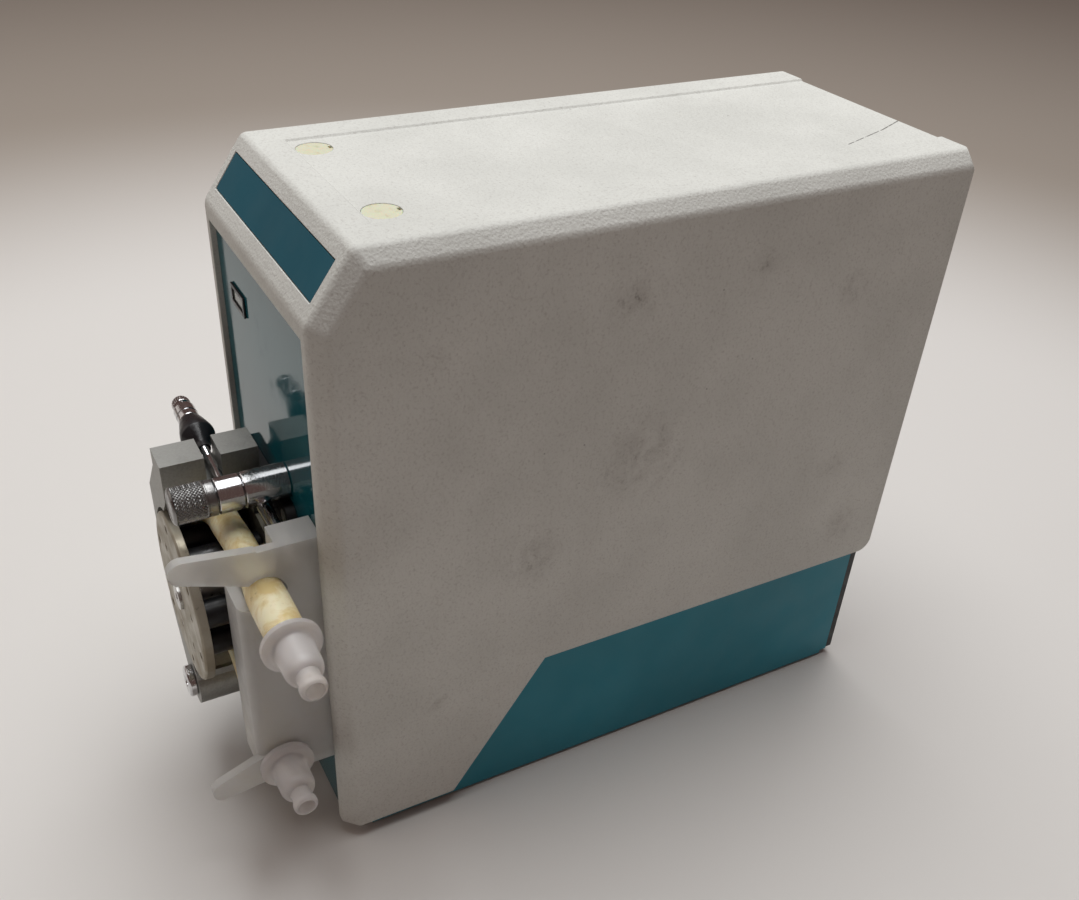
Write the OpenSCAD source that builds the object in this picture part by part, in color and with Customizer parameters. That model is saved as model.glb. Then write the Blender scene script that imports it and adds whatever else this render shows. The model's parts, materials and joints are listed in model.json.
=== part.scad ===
// Peristaltic pump: a free-standing motor housing with an open roller head on its front face.
// X runs across the width, Y from the front to the back and Z up. The modules measure from the
// middle of the housing's front plane at table level, and placed() moves that point so that the
// origin is the centre of the bounding box's underside.

/* [Housing] */
// Width across the two side faces
body_w = 117; // [117:1:124]
// Depth from the front frame to the rear edge
body_d = 250; // [235:1:270]
// Height from the table to the top face
body_h = 244; // [240:1:256]
// Depth of the sloping front chamfer, along Y
chamfer_run = 15.5; // [12:0.5:18]
// Height of the sloping front chamfer, along Z
chamfer_drop = 22; // [18:1:24]
// Width of the bevel along the long side edges, across the body
bevel_w = 5.2; // [4:0.2:6]
// How far that bevel sets the side face back from the top and the front
bevel_inset = 5.3; // [3.5:0.2:6]
// Height of the housing's lower edge above the table, along its rear part
skirt_z = 65; // [60:1:75]
// Distance from the front at which the lower edge starts to rise
skirt_front_y = 45; // [38:0.5:52]
// Distance from the front at which the lower edge is level again
skirt_rear_y = 84.5; // [72:1:95]

/* [Roller head] */
// Distance of the rotor's axis from the housing's middle, along X
rotor_x = -4; // [-6:0.5:-2]
// Height of the rotor's axis
rotor_z = 92.5; // [91:0.5:94]
// Radius of the rotor's front disc
disc_r = 32.5; // [31:0.5:33]
// Radius of a roller
roller_r = 5.5; // [5:0.1:6]
// Radius that the rollers sweep
roller_reach = 24.5; // [24:0.1:24.6]
// Distance of the tube's plane in front of the housing
head_y = 18.5; // [18:0.1:19]

/* [Tube] */
// Outer diameter of the tube where it is round
tube_d = 11.4; // [10.8:0.1:11.6]
// Wall thickness of the tube
tube_wall = 2.2; // [1.6:0.1:2.2]
// Height of the tube's upper run
upper_run_z = 127; // [126:0.5:128]
// Height of the tube's lower run
lower_run_z = 47; // [46:0.5:48]
// Radius of the hose connectors' flanges
flange_r = 10; // [9:0.5:11]

/* [Clamp] */
// Height of the clamp post's axis
post_z = 144; // [143.5:0.5:146]
// Radius of the clamp post
post_r = 6.4; // [6:0.1:6.4]
// Radius of the swing bolt's rod
rod_r = 1.6; // [1.4:0.1:1.8]
// Width of the slot in the pressure arm's fork
slot_w = 6; // [5.6:0.1:6.4]

/* [Hidden] */
$fn = 96;

// General clearances
eps = 0.01;           // overlap of a cutting tool past the face that it cuts
gap = 0.3;            // clear space between pieces that move past each other
running = 0.05;       // radial clearance of a running fit

// Colours
housing_grey = [0.78, 0.76, 0.73];
deep_teal = [0.07, 0.30, 0.33];
panel_teal = [0.08, 0.33, 0.35];
near_black = [0.06, 0.06, 0.07];
dark_steel = [0.30, 0.30, 0.32];
bright_chrome = [0.82, 0.83, 0.85];
matt_aluminium = [0.66, 0.66, 0.62];
zinc_steel = [0.60, 0.61, 0.62];
milky_plastic = [0.82, 0.85, 0.86, 0.85];
clear_plastic = [0.90, 0.91, 0.92, 0.75];
tube_cream = [0.88, 0.82, 0.62];
plug_cream = [0.87, 0.85, 0.74];

// Housing
half_w = body_w / 2;
side_wall = 3.5;
top_wall = 4.5;
frame_depth = 9;
frame_border = 9.5;
frame_opening = half_w - frame_border;
opening_top = body_h - chamfer_drop - 5.7;
shell_bottom = 6;
rear_corner_r = 6;
chamfer_wall = 5;
chamfer_length = norm([chamfer_run, chamfer_drop]);
chamfer_tilt = atan2(chamfer_drop, chamfer_run);
recess_half = 40;
recess_y = 26.3;
recess_depth = 0.8;
plate_l = 97.6;
plate_h = 14.6;
plate_pocket = 1;
plate_thick = 0.8;
plug_x = 30;
plug_y = 33.7;
plug_r = 6.2;
boss_r = 9;
boss_bottom = 221;
plug_seat = body_h - recess_depth - 2.6;

// Panels and chassis
panel_face = 2;
panel_thick = 3;
panel_half = frame_opening - 0.3;
inner_y = frame_depth + 0.3;
sheet = 2;
base_half = half_w - side_wall - 0.1;
base_wall = 2.5;
base_top = skirt_z + 11;
base_floor = 1.5;
rear_y = body_d - 5.5;
rear_thick = 3;
foot_r = 7;
foot_x = 44;
foot_front_y = 28;
foot_rear_y = 225;
window_x = -26.2;
window_z = 195.4;
window_w = 15;
window_h = 7.6;
bezel_edge = 1.5;

// Rear connectors
inlet_x = 28;
inlet_z = 40;
inlet_w = 27;
inlet_h = 19.5;
inlet_depth = 24;
drawer_w = 22;
drawer_h = 8;
drawer_gap = 4;
switch_x = -2;
rocker_y = body_d - 6.5;
switch_w = 13;
switch_h = 19;
remote_x = -32;
remote_w = 31;
remote_h = 12.5;

// Drive train
shaft_r = 4;
bearing_r = 11;
gearbox_r = 30;
gearbox_l = 28;
motor_r = 27;
motor_l = 52;
screw_orbit = 24;

// Head plate on the front panel
plate_y = 3.5 - panel_face;
head_left = -36;
head_right = 22;
head_bottom = 34;
head_top = 137;
head_screw_inset = 6;
screw_hole_r = 2.2;
lug_front = 10;

// Rotor, seen along Y: negative values are in front of the housing
roller_count = 6;
disc_front = -38;
disc_back = -34.3;
rear_disc_front = -6.5;
rear_disc_back = -3.5;
rear_disc_r = 28;
roller_orbit = roller_reach - roller_r;
roller_front = disc_back + 0.4;
roller_back = rear_disc_front - 0.4;
roller_pin_r = 1.5;
hub_r = 8;

// Pressure arm
bed_r = roller_reach + 2 * tube_wall + 2 * gap;
arm_front = -37;
arm_back = -2.2;
arm_left = -38;
arm_step_x = -20.5;
arm_right = -6.5;
arm_top = post_z + 4;
pivot_x = -12;
pivot_z = 42;
pivot_boss_r = 10;
pivot_r = 4;
pivot_head_r = 6.5;
pivot_head_front = -40.3;

// Clamp
post_x = 12;
spigot_r = 4;
thread_r = 3;
eye_front = -head_y - 4.6;
eye_back = -head_y + 4.4;
knob_front = -38.5;
knob_back = eye_front - gap;
collar_face = arm_step_x - 0.5;
collar_l = 17;
collar_rim_r = 6.3;
collar_rim_at = 6;
collar_end_r = 4.8;
neck_r = 2.3;
nut_r = 4.1;
nut_l = 10;
nut_cap_l = 6.5;
nut_cap_r = 3.5;
rod_end = collar_face - collar_l - nut_l - 2;

// Tube
tube_r = tube_d / 2;
bulge_r = 7;
flat_half = tube_wall + 0.1;
flat_inner = roller_reach + gap;
flat_from = 120;
upper_bend_x = 22;
lower_bend_x = 27;
tube_sides = 16;

// Cassette and hose connectors
cassette_face = 49;
cassette_plate = 3.5;
cassette_left = 31;
cassette_front = -28;
cassette_back = 1.5;
cassette_bottom = 41;
cassette_top = 145;
block_bottom = 44;
block_top = 122;
cassette_wall = 2.5;
cassette_corner_r = 4.5;
rib_left = 36.5;
rib_front = -13.5;
pin_y = -6.5;
pin_upper_z = 133.8;
pin_lower_z = 51;
guide_pin_r = 2.6;
upper_flange_x = 73.7;
lower_flange_x = cassette_face + 0.2;
flange_t = 4;
barrel_r = 6.7;
barrel_l = 9;
shoulder_l = 4;
nipple_r = 3.9;
nipple_l = 3.5;
lip_r = 4.4;
lip_l = 3;
connector_bore_r = 2.9;
barb_r = 4.6;
barb_l = 14;
connector_l = flange_t + barrel_l + shoulder_l + nipple_l + lip_l;

// Bounding box, which sets the origin
tab_tip_y = -43.6;
tab_tip_r = 4.3;
reach_x = upper_flange_x + connector_l;
reach_front = tab_tip_r - tab_tip_y;
mid_x = (reach_x - half_w) / 2;
mid_y = (body_d - reach_front) / 2;

module placed() {
    translate([-mid_x, -mid_y, 0]) children();
}

// A round bar along Y from y0 to y1
module bar_y(x, z, y0, y1, r) {
    translate([x, y1, z]) rotate([90, 0, 0]) cylinder(r = r, h = y1 - y0);
}

// A round bar along X from x0 to x1
module bar_x(y, z, x0, x1, r) {
    translate([x0, y, z]) rotate([0, 90, 0]) cylinder(r = r, h = x1 - x0);
}

// A box between two opposite corners
module box(low, high) {
    translate(low) cube(high - low);
}

// An outline in the X-Z plane, given as [x, z] points or children, extruded from y0 to y1
module slab_y(y0, y1) {
    translate([0, y1, 0]) rotate([90, 0, 0]) linear_extrude(y1 - y0) children();
}

// An outline in the Y-Z plane, given as [y, z] children, extruded from x0 to x1
module slab_x(x0, x1) {
    translate([x0, 0, 0]) rotate([90, 0, 90]) linear_extrude(x1 - x0) children();
}

// A turned piece along +X: its outline gives [radius, distance] and starts at x
module turned_x(x, y, z) {
    translate([x, y, z]) rotate([0, 90, 0]) rotate_extrude() children();
}

// The housing's side outline, shrunk by inset along its top, chamfer and front
module side_outline(inset) {
    slope = inset * (chamfer_length - chamfer_run) / chamfer_drop;
    rise = inset * (chamfer_length - chamfer_drop) / chamfer_run;
    polygon([
        [inset, shell_bottom],
        [inset, body_h - chamfer_drop - rise],
        [chamfer_run + slope, body_h - inset],
        [body_d, body_h - inset],
        [body_d, shell_bottom]
    ]);
}

module outer_body() {
    hull() {
        slab_x(-half_w + bevel_w, half_w - bevel_w) side_outline(0);
        slab_x(-half_w, half_w) side_outline(bevel_inset);
    }
}

module inner_space() {
    drop = chamfer_wall * chamfer_length / chamfer_run - chamfer_wall;
    slope_y = function(z) (z - (body_h - chamfer_drop - drop)) * chamfer_run / chamfer_drop;
    ceiling = body_h - top_wall;
    slab_x(-half_w + side_wall, half_w - side_wall) polygon([
        [frame_depth, 0],
        [frame_depth, opening_top + 9],
        [slope_y(ceiling) + chamfer_wall, ceiling],
        [body_d + 1, ceiling],
        [body_d + 1, 0]
    ]);
}

// The low rear part of each side, where the base shows under the housing
module skirt_cut() {
    r = rear_corner_r;
    difference() {
        slab_x(-half_w - 1, half_w + 1) polygon([
            [skirt_front_y, shell_bottom - eps],
            [skirt_rear_y, skirt_z],
            [body_d - r, skirt_z],
            [body_d - r, skirt_z + r],
            [body_d + 1, skirt_z + r],
            [body_d + 1, shell_bottom - eps]
        ]);
        bar_x(body_d - r, skirt_z + r, -half_w - 2, half_w + 2, r);
    }
}

module chamfer_pocket() {
    middle_y = chamfer_run / 2;
    middle_z = body_h - chamfer_drop / 2;
    translate([0, middle_y, middle_z]) rotate([chamfer_tilt, 0, 0]) children();
}

module housing_shell() {
    color(housing_grey) placed() difference() {
        union() {
            difference() {
                outer_body();
                inner_space();
            }
            for (side = [-1, 1])
                translate([side * plug_x, plug_y, boss_bottom])
                    cylinder(r = boss_r, h = body_h - top_wall - boss_bottom + 1);
        }
        skirt_cut();
        box([-frame_opening, -1, 0], [frame_opening, frame_depth + 1, opening_top]);
        box([-recess_half, recess_y, body_h - recess_depth], [recess_half, body_d + 1, body_h + 1]);
        chamfer_pocket() translate([-plate_l / 2, -plate_h / 2, -plate_pocket])
            cube([plate_l, plate_h, plate_pocket + 2]);
        for (side = [-1, 1]) translate([side * plug_x, plug_y, 0]) {
            translate([0, 0, plug_seat - 8]) cylinder(r = plug_r + 0.1, h = 20);
            cylinder(r = 2.3, h = body_h);
        }
    }
}

module nameplate() {
    color(deep_teal) placed() chamfer_pocket()
        translate([-plate_l / 2 + 0.3, -plate_h / 2 + 0.3, -plate_pocket])
            cube([plate_l - 0.6, plate_h - 0.6, plate_thick]);
}

module screw_plugs() {
    notch = 1.2;
    notch_w = 2;
    color(plug_cream) placed() for (side = [-1, 1]) translate([side * plug_x, plug_y, plug_seat]) {
        difference() {
            cylinder(r = plug_r, h = body_h - recess_depth - plug_seat - 0.2);
            translate([-notch_w / 2, plug_r - notch, 1]) cube([notch_w, notch + 1, 4]);
        }
        translate([0, 0, -4]) cylinder(r = plug_r - 1, h = 4);
    }
}

module cover_screws() {
    head_top = plug_seat - 4.3;
    color(zinc_steel) placed() for (side = [-1, 1]) translate([side * plug_x, plug_y, 0]) {
        difference() {
            translate([0, 0, plug_seat - 8]) cylinder(r = 3.6, h = head_top - plug_seat + 8);
            translate([0, 0, head_top - 1.6]) cylinder(r = 1.7, h = 3, $fn = 6);
        }
        translate([0, 0, boss_bottom - 8]) cylinder(r = 2, h = plug_seat - boss_bottom);
    }
}

module front_panel() {
    rim = 3;
    top = opening_top - 0.3;
    bottom = shell_bottom;
    glass_edge = 1;
    color(panel_teal) placed() difference() {
        union() {
            box([-panel_half, panel_face, bottom], [panel_half, panel_face + panel_thick, top]);
            difference() {
                box([-panel_half, panel_face, bottom], [panel_half, inner_y, top]);
                box([-panel_half + rim, 0, bottom + rim], [panel_half - rim, inner_y + 1, top - rim]);
            }
        }
        bar_y(rotor_x, rotor_z, 0, inner_y + 1, bearing_r + 1);
        for (x = head_screw_xs(), z = head_screw_zs()) bar_y(x, z, 0, inner_y, screw_hole_r);
        box([window_x - window_w / 2 + glass_edge, 0, window_z - window_h / 2 + glass_edge],
            [window_x + window_w / 2 - glass_edge, inner_y, window_z + window_h / 2 - glass_edge]);
    }
}

module display_bezel() {
    w = window_w / 2;
    h = window_h / 2;
    color(near_black) placed() difference() {
        union() {
            box([window_x - w, panel_face - 0.8, window_z - h], [window_x + w, panel_face, window_z + h]);
            box([window_x - w + 1.1, panel_face - eps, window_z - h + 1.1],
                [window_x + w - 1.1, panel_face + 2, window_z + h - 1.1]);
        }
        box([window_x - w + bezel_edge, 0, window_z - h + bezel_edge],
            [window_x + w - bezel_edge, inner_y, window_z + h - bezel_edge]);
    }
}

module display_window() {
    w = window_w / 2 - bezel_edge - 0.1;
    h = window_h / 2 - bezel_edge - 0.1;
    color([0.35, 0.38, 0.36]) placed()
        box([window_x - w, panel_face - 0.3, window_z - h], [window_x + w, panel_face + 1.5, window_z + h]);
}

// Sheet-metal frame behind the front panel: it carries the gearbox and takes the cover screws
module inner_frame() {
    frame_half = base_half - base_wall - 0.6;
    flange_y = plug_y + 12;
    flange_z = boss_bottom;
    color(zinc_steel) placed() difference() {
        union() {
            box([-frame_half, inner_y, base_floor + base_wall], [frame_half, inner_y + sheet, flange_z]);
            box([-frame_half, inner_y, flange_z - sheet], [frame_half, flange_y, flange_z]);
        }
        bar_y(rotor_x, rotor_z, 0, inner_y + 5, bearing_r + 1);
        for (side = [-1, 1])
            translate([side * plug_x, plug_y, flange_z - 5]) cylinder(r = screw_hole_r, h = 10);
        for (x = head_screw_xs(), z = head_screw_zs())
            bar_y(x, z, inner_y - 1, inner_y + 5, screw_hole_r);
    }
}

module chassis_base() {
    front = inner_y + sheet + 0.3;
    notch_y = rear_y - 3.5;
    color(deep_teal) placed() difference() {
        box([-base_half, front, base_floor], [base_half, rear_y, base_top]);
        box([-base_half + base_wall, front - 1, base_floor + base_wall],
            [base_half - base_wall, rear_y + 1, base_top + 1]);
        box([-base_half - 1, notch_y, 0], [base_half + 1, rear_y + 1, base_floor + 1.6]);
        for (x = [-foot_x, foot_x], y = [foot_front_y, foot_rear_y])
            translate([x, y, 0]) cylinder(r = 2.5, h = 10);
    }
}

module rubber_feet() {
    color(near_black) placed() for (x = [-foot_x, foot_x], y = [foot_front_y, foot_rear_y])
        translate([x, y, 0]) {
            cylinder(r = foot_r, h = base_floor);
            cylinder(r = 2.4, h = base_floor + base_wall + 2);
        }
}

// Rear panel, with its screws near the four corners
rear_low = 4;
rear_high = body_h - top_wall - 0.5;
rear_screw_xs = [7 - base_half, base_half - 7];
rear_screw_zs = [rear_low + 12, rear_high - 12];
rear_head_h = 1.8;

// A cut-out of the rear panel round a fitting, given by its middle and its half sizes
module rear_cut(x, z, half_x, half_z) {
    box([x - half_x, rear_y - 1, z - half_z], [x + half_x, rear_y + rear_thick + 1, z + half_z]);
}

module rear_panel() {
    boss_l = 6;
    inlet_top = drawer_gap + drawer_h + 2;
    color(near_black) placed() difference() {
        union() {
            box([-base_half, rear_y, rear_low], [base_half, rear_y + rear_thick, rear_high]);
            for (x = rear_screw_xs, z = rear_screw_zs) bar_y(x, z, rear_y - boss_l, rear_y, 4);
        }
        rear_cut(inlet_x, inlet_z + inlet_top / 2, inlet_w / 2 + 0.2, (inlet_h + inlet_top) / 2 + 0.2);
        rear_cut(switch_x, inlet_z, switch_w / 2 + 1.2, switch_h / 2 + 1.2);
        rear_cut(remote_x, inlet_z, remote_w / 2 - 4, remote_h / 2 - 1);
        for (x = rear_screw_xs, z = rear_screw_zs)
            bar_y(x, z, rear_y - boss_l + 1, rear_y + rear_thick + 1, 1.6);
    }
}

module rear_screws() {
    face = rear_y + rear_thick;
    color(zinc_steel) placed() for (x = rear_screw_xs, z = rear_screw_zs) {
        difference() {
            bar_y(x, z, face, face + rear_head_h, 3);
            bar_y(x, z, face + rear_head_h / 2, face + 3, 1.4, $fn = 6);
        }
        bar_y(x, z, rear_y - 4, face, 1.5);
    }
}

// Mains inlet with its fuse drawer above the socket
inlet_rim = 2;
inlet_back = rear_y + rear_thick - inlet_depth + 4;
drawer_z = inlet_z + inlet_h / 2 + drawer_gap;

module mains_inlet() {
    socket_w = inlet_w - 3;
    socket_h = inlet_h - 3;
    rim_y = rear_y + rear_thick;
    top = drawer_z + drawer_h + inlet_rim;
    color(near_black) placed() difference() {
        union() {
            box([inlet_x - inlet_w / 2, rim_y - inlet_depth, inlet_z - inlet_h / 2],
                [inlet_x + inlet_w / 2, rim_y, top]);
            box([inlet_x - inlet_w / 2 - inlet_rim, rim_y, inlet_z - inlet_h / 2 - inlet_rim],
                [inlet_x + inlet_w / 2 + inlet_rim, rim_y + 1.8, top + 1.5]);
        }
        box([inlet_x - socket_w / 2, inlet_back, inlet_z - socket_h / 2],
            [inlet_x + socket_w / 2, rim_y + 9, inlet_z + socket_h / 2]);
        box([inlet_x - drawer_w / 2 - gap, inlet_back, drawer_z - gap],
            [inlet_x + drawer_w / 2 + gap, rim_y + 9, drawer_z + drawer_h + gap]);
    }
}

module inlet_pins() {
    half = [1, 0, 2];
    color(bright_chrome) placed() for (middle = [[-7, 0, -2], [0, 0, 3], [7, 0, -2]])
        translate([inlet_x, inlet_back, inlet_z]) box(middle - half, middle + half + [0, 14, 0]);
}

module fuse_drawer() {
    rim_y = rear_y + rear_thick;
    grip_half = 5;
    grip_h = 2.5;
    color(near_black) placed() difference() {
        box([inlet_x - drawer_w / 2, inlet_back + gap, drawer_z],
            [inlet_x + drawer_w / 2, rim_y + 1.8, drawer_z + drawer_h]);
        box([inlet_x - grip_half, rim_y + 0.8, drawer_z + drawer_h - grip_h],
            [inlet_x + grip_half, rim_y + 3, drawer_z + drawer_h + 1]);
    }
}

// The rocker rests with its upper half pressed in, and turns on a pin in the housing's cheeks
rocker_tilt = 9;
rocker_pin_r = 1.4;

// A block of the switch's outline, grown by edge on every side
module switch_block(edge, y0, y1) {
    w = switch_w / 2 + edge;
    h = switch_h / 2 + edge;
    box([switch_x - w, y0, inlet_z - h], [switch_x + w, y1, inlet_z + h]);
}

module switch_housing() {
    rim_y = rear_y + rear_thick;
    pin_half = switch_w / 2 + 0.8;
    color(near_black) placed() difference() {
        union() {
            switch_block(1, rim_y - 20, rim_y);
            switch_block(2.5, rim_y, rim_y + 1.5);
        }
        switch_block(0, rim_y - 12, rim_y + 3);
        bar_x(rocker_y, inlet_z, switch_x - pin_half, switch_x + pin_half, rocker_pin_r + running);
    }
}

module power_rocker() {
    w = switch_w / 2 - gap;
    half = switch_h / 2 - 1;
    pin_half = switch_w / 2 + 0.6;
    color([0.45, 0.05, 0.05]) placed() translate([switch_x, rocker_y, inlet_z]) {
        rotate([rocker_tilt, 0, 0]) slab_x(-w, w)
            polygon([[-3, -half + 2.5], [3.2, -half], [2.2, 0], [3.2, half], [-3, half - 2.5]]);
        bar_x(0, 0, -pin_half, pin_half, rocker_pin_r);
    }
}

module remote_socket() {
    rim_y = rear_y + rear_thick;
    hole_pitch = 25 / 2;
    color(bright_chrome) placed() difference() {
        union() {
            box([remote_x - remote_w / 2, rim_y, inlet_z - remote_h / 2],
                [remote_x + remote_w / 2, rim_y + 0.8, inlet_z + remote_h / 2]);
            slab_y(rim_y - 10, body_d - 0.3) translate([remote_x, inlet_z])
                polygon([[-8.2, 4.2], [8.2, 4.2], [7, -4.2], [-7, -4.2]]);
        }
        slab_y(rim_y - 5, rim_y + 9) translate([remote_x, inlet_z])
            polygon([[-7.6, 3.7], [7.6, 3.7], [6.5, -3.7], [-6.5, -3.7]]);
        for (side = [-1, 1]) bar_y(remote_x + side * hole_pitch, inlet_z, rim_y - 1, rim_y + 9, 1.2);
    }
}

// Four screws hold the motor to the gearbox
motor_screw_points = [
    for (a = [45:90:315]) [rotor_x + screw_orbit * cos(a), rotor_z + screw_orbit * sin(a)]
];

module gearbox() {
    front = inner_y + sheet;
    color(zinc_steel) placed() difference() {
        bar_y(rotor_x, rotor_z, front, front + gearbox_l, gearbox_r);
        bar_y(rotor_x, rotor_z, front - 1, front + gearbox_l - 8, shaft_r + running);
        for (at = motor_screw_points)
            bar_y(at[0], at[1], front + gearbox_l - 6, front + gearbox_l + 1, 1.6);
    }
}

module drive_motor() {
    front = inner_y + sheet + gearbox_l;
    color(dark_steel) placed() {
        difference() {
            bar_y(rotor_x, rotor_z, front, front + 4, gearbox_r - 1);
            for (at = motor_screw_points) bar_y(at[0], at[1], front - 1, front + 5, 1.7);
        }
        bar_y(rotor_x, rotor_z, front + 4, front + motor_l, motor_r - 6);
        bar_y(rotor_x, rotor_z, front + motor_l, front + motor_l + 3, 8);
    }
}

module motor_screws() {
    front = inner_y + sheet + gearbox_l;
    color(bright_chrome) placed() for (at = motor_screw_points) {
        bar_y(at[0], at[1], front + 4, front + 6.5, 2.6);
        bar_y(at[0], at[1], front - 5, front + 4, 1.5);
    }
}

// Transformer on the chassis floor
core_size = [50, 42, 44];
core_at = [-24, 185];

module transformer_core() {
    floor_z = base_floor + base_wall;
    window = [8, 60, 26];
    color(dark_steel) placed() translate([core_at[0], core_at[1], floor_z]) difference() {
        translate([-core_size[0] / 2, -core_size[1] / 2, 0]) cube(core_size);
        for (side = [-1, 1])
            translate([side * 13 - window[0] / 2, -window[1] / 2, 9]) cube(window);
    }
}

module transformer_coil() {
    floor_z = base_floor + base_wall;
    inner = 8.8;
    outer = 16.8;
    color([0.75, 0.55, 0.20]) placed() translate([core_at[0], core_at[1], floor_z + 9.2]) difference() {
        translate([-outer, -core_size[1] / 2 - 8, 0]) cube([2 * outer, core_size[1] + 16, 25.6]);
        translate([-inner - 0.3, -core_size[1] / 2 - 0.3, -1])
            cube([2 * inner + 0.6, core_size[1] + 0.6, 30]);
    }
}

// Control board on standoffs beside the transformer
board_low = [6, 121];
board_size = [44, 95];
board_z = 16;
standoff_inset = 4;
standoff_points = [
    for (x = [standoff_inset, board_size[0] - standoff_inset])
        for (y = [standoff_inset, board_size[1] - standoff_inset])
            [board_low[0] + x, board_low[1] + y]
];

module control_board() {
    color([0.10, 0.35, 0.18]) placed() difference() {
        translate([board_low[0], board_low[1], board_z]) cube([board_size[0], board_size[1], 1.6]);
        for (at = standoff_points) translate([at[0], at[1], board_z - 1]) cylinder(r = 1.6, h = 4);
    }
}

module board_standoffs() {
    floor_z = base_floor + base_wall;
    color([0.78, 0.62, 0.30]) placed() for (at = standoff_points) translate([at[0], at[1], floor_z]) {
        cylinder(r = 3, h = board_z - floor_z, $fn = 6);
        cylinder(r = 1.5, h = board_z - floor_z + 3);
    }
}

module board_parts() {
    top = board_z + 1.6;
    color([0.12, 0.12, 0.14]) placed() translate([board_low[0], board_low[1], top]) {
        for (k = [0:1]) translate([14 + 17 * k, 18, 0]) cylinder(r = 6.5, h = 22);
        translate([10, 40, 0]) cube([10, 24, 3.5]);
        translate([26, 38, 0]) cube([12, 28, 14]);
        translate([12, 74, 0]) cube([20, 12, 10]);
    }
}

// Corner screws of the head plate
function head_screw_xs() = [head_left + head_screw_inset, head_right - head_screw_inset];
function head_screw_zs() = [head_bottom + head_screw_inset, head_top - head_screw_inset];

module head_plate() {
    r = 5;
    w = head_right - head_left;
    h = head_top - head_bottom;
    color(near_black) placed() difference() {
        union() {
            slab_y(-plate_y, panel_face) {
                translate([head_left + r, head_bottom]) square([w - 2 * r, h]);
                translate([head_left, head_bottom + r]) square([w, h - 2 * r]);
                for (x = [head_left + r, head_right - r], z = [head_bottom + r, head_top - r])
                    translate([x, z]) circle(r);
            }
            box([0, -lug_front, pin_upper_z - 3.4], [9, -plate_y, head_top]);
            box([10, -lug_front, pin_lower_z - 5], [head_right, -plate_y, pin_lower_z + 5]);
        }
        bar_y(rotor_x, rotor_z, -plate_y - 1, panel_face + 1, bearing_r + 0.1);
        for (x = head_screw_xs(), z = head_screw_zs()) {
            bar_y(x, z, -plate_y - 1, 0.9, 3.6);
            bar_y(x, z, -plate_y - 1, panel_face + 1, screw_hole_r);
        }
    }
}

module head_screws() {
    color(zinc_steel) placed() for (x = head_screw_xs(), z = head_screw_zs()) {
        difference() {
            bar_y(x, z, -plate_y + 0.1, 0.9, 3.4);
            bar_y(x, z, -plate_y - 1, 0, 1.5, $fn = 6);
        }
        bar_y(x, z, 0.9, inner_y + sheet, 2);
    }
}

module shaft_bearing() {
    color(bright_chrome) placed() difference() {
        bar_y(rotor_x, rotor_z, -plate_y, 5, bearing_r);
        bar_y(rotor_x, rotor_z, -plate_y - 1, 6, shaft_r + running);
    }
}

module drive_shaft() {
    color(bright_chrome) placed()
        bar_y(rotor_x, rotor_z, disc_front + 1.5, inner_y + sheet + gearbox_l - 10, shaft_r);
}

module rotor_hub() {
    color(dark_steel) placed() difference() {
        bar_y(rotor_x, rotor_z, disc_back, rear_disc_front, hub_r);
        bar_y(rotor_x, rotor_z, disc_back - 1, 0, shaft_r);
    }
}

// Angle of roller k about the rotor's axis
function roller_angle(k) = 360 / roller_count * k + 12;
function roller_at(k) = [
    rotor_x + roller_orbit * cos(roller_angle(k)),
    rotor_z + roller_orbit * sin(roller_angle(k))
];

module front_disc() {
    edge = 0.7;
    slot_orbit = 27.5;
    color(matt_aluminium) placed() difference() {
        translate([rotor_x, disc_back, rotor_z]) rotate([90, 0, 0]) rotate_extrude()
            polygon([[0, 0], [disc_r, 0], [disc_r, disc_back - disc_front - edge],
                     [disc_r - edge, disc_back - disc_front], [0, disc_back - disc_front]]);
        bar_y(rotor_x, rotor_z, disc_front + 1.5, 0, shaft_r);
        bar_y(rotor_x, rotor_z, disc_front - 1, disc_front + 1.5, 5.2);
        for (k = [0:roller_count - 1]) {
            bar_y(roller_at(k)[0], roller_at(k)[1], disc_front - 1, 0, roller_pin_r);
            a = roller_angle(k) + 30;
            bar_y(rotor_x + slot_orbit * cos(a), rotor_z + slot_orbit * sin(a), disc_front - 1, 0, 1.8);
        }
    }
}

module rear_disc() {
    color(matt_aluminium) placed() difference() {
        bar_y(rotor_x, rotor_z, rear_disc_front, rear_disc_back, rear_disc_r);
        bar_y(rotor_x, rotor_z, rear_disc_front - 1, 0, shaft_r);
        for (k = [0:roller_count - 1])
            bar_y(roller_at(k)[0], roller_at(k)[1], rear_disc_front - 1, 0, roller_pin_r);
    }
}

module roller_pins() {
    color(bright_chrome) placed() for (k = [0:roller_count - 1])
        bar_y(roller_at(k)[0], roller_at(k)[1], disc_front + 0.2, rear_disc_back, roller_pin_r);
}

module disc_screw() {
    color(zinc_steel) placed() difference() {
        bar_y(rotor_x, rotor_z, disc_front - 1.2, disc_front + 1.5, 5);
        bar_y(rotor_x, rotor_z, disc_front - 3, disc_front + 0.6, 2.2, $fn = 6);
    }
}

module roller(k) {
    at = roller_at(k);
    bore = roller_pin_r + running;
    chamfer = 0.6;
    length = roller_back - roller_front;
    color(near_black) placed() translate([at[0], roller_back, at[1]]) rotate([90, 0, 0]) rotate_extrude()
        polygon([
            [bore, 0], [roller_r - chamfer, 0], [roller_r, chamfer],
            [roller_r, length - chamfer], [roller_r - chamfer, length], [bore, length]
        ]);
}

module roller_1() { roller(0); }
module roller_2() { roller(1); }
module roller_3() { roller(2); }
module roller_4() { roller(3); }
module roller_5() { roller(4); }
module roller_6() { roller(5); }

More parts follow.
